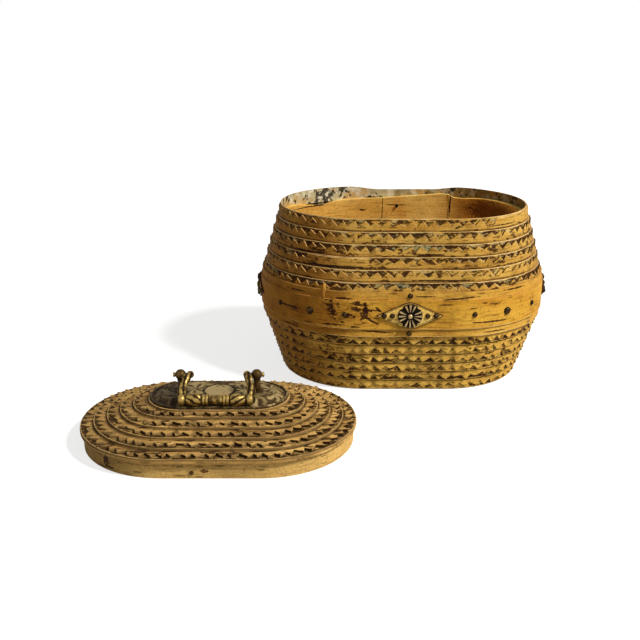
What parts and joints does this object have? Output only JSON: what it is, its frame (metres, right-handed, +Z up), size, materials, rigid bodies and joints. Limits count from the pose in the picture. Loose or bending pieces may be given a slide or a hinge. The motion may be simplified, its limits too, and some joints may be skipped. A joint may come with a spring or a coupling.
{
  "type": "lidded bark box",
  "caption": "Oval, barrel-shaped box built of overlapping sheets of bark with saw-toothed edges; stepped lift-off lid with a brass bail handle lies beside it.",
  "frame": {"origin": "centre of the box's underside, on the surface it stands on", "axes": "+Z up, +X along the box's long side to the right, the front with the lid lying before it faces -Y"},
  "size_m": [0.4295, 0.3673, 0.167],
  "materials": {
    "bottom_wood": "dry, raw",
    "liner_bark": "smooth, dull",
    "upper_plain_bark": "dull, fibrous",
    "upper_toothed_bark": "low sheen",
    "lower_plain_bark": "dull, fibrous",
    "lower_toothed_bark": "low sheen",
    "strip_bark": "low sheen",
    "band_bark": "low sheen, stained",
    "lozenge_bark": "low sheen",
    "rosette_metal": "blackened, pressed",
    "tack_metal": "blackened",
    "lid_band_bark": "dull",
    "lid_board_bark": "dull",
    "lid_plain_bark": "dull, fibrous",
    "lid_toothed_bark": "dull",
    "plate_brass": "antique, pressed",
    "handle_brass": "antique, worn bright",
    "nut_brass": "dull"
  },
  "bodies": {
    "box": {"bottom_board": "bottom_wood", "liner_wrap": "liner_bark", "liner_back_panel": "liner_bark", "liner_nails": "tack_metal", "upper_plain_sheet_1": "upper_plain_bark", "upper_plain_sheet_2": "upper_plain_bark", "upper_plain_sheet_3": "upper_plain_bark", "upper_plain_sheet_4": "upper_plain_bark", "upper_plain_sheet_5": "upper_plain_bark", "upper_plain_sheet_6": "upper_plain_bark", "upper_toothed_sheet_1": "upper_toothed_bark", "upper_toothed_sheet_2": "upper_toothed_bark", "upper_toothed_sheet_3": "upper_toothed_bark", "upper_toothed_sheet_4": "upper_toothed_bark", "upper_toothed_sheet_5": "upper_toothed_bark", "upper_toothed_sheet_6": "upper_toothed_bark", "lower_plain_sheet_1": "lower_plain_bark", "lower_plain_sheet_2": "lower_plain_bark", "lower_plain_sheet_3": "lower_plain_bark", "lower_plain_sheet_4": "lower_plain_bark", "lower_plain_sheet_5": "lower_plain_bark", "lower_plain_sheet_6": "lower_plain_bark", "lower_toothed_sheet_1": "lower_toothed_bark", "lower_toothed_sheet_2": "lower_toothed_bark", "lower_toothed_sheet_3": "lower_toothed_bark", "lower_toothed_sheet_4": "lower_toothed_bark", "lower_toothed_sheet_5": "lower_toothed_bark", "lower_toothed_sheet_6": "lower_toothed_bark", "wide_strip": "strip_bark", "middle_band": "band_bark", "lozenge_front": "lozenge_bark", "lozenge_back": "lozenge_bark", "lozenge_left": "lozenge_bark", "lozenge_right": "lozenge_bark", "rosettes": "rosette_metal", "lozenge_tacks": "tack_metal", "band_tacks": "tack_metal", "large_tacks": "tack_metal"},
    "lid": {"lid_side_band": "lid_band_bark", "lid_band_nail": "tack_metal", "lid_board": "lid_board_bark", "lid_plain_sheet_1": "lid_plain_bark", "lid_plain_sheet_2": "lid_plain_bark", "lid_plain_sheet_3": "lid_plain_bark", "lid_plain_sheet_4": "lid_plain_bark", "lid_plain_sheet_5": "lid_plain_bark", "lid_toothed_sheet_1": "lid_toothed_bark", "lid_toothed_sheet_2": "lid_toothed_bark", "lid_toothed_sheet_3": "lid_toothed_bark", "lid_toothed_sheet_4": "lid_toothed_bark", "lid_toothed_sheet_5": "lid_toothed_bark", "lid_top_sheet": "lid_plain_bark", "handle_back_plate": "plate_brass", "left_post": "handle_brass", "right_post": "handle_brass", "post_washers": "nut_brass", "post_nuts": "nut_brass"},
    "bail": {"bail": "handle_brass"}
  },
  "joints": [
    {"name": "lid_lift", "type": "slide", "parent": "box", "child": "lid", "axis": [0, 0, 1], "range_m": [0, 0.2]},
    {"name": "bail_swing", "type": "hinge", "parent": "lid", "child": "bail", "pos_m": [-0.167, -0.175, 0.0536], "axis": [-1, 0, 0], "range_deg": [0, 225]}
  ]
}
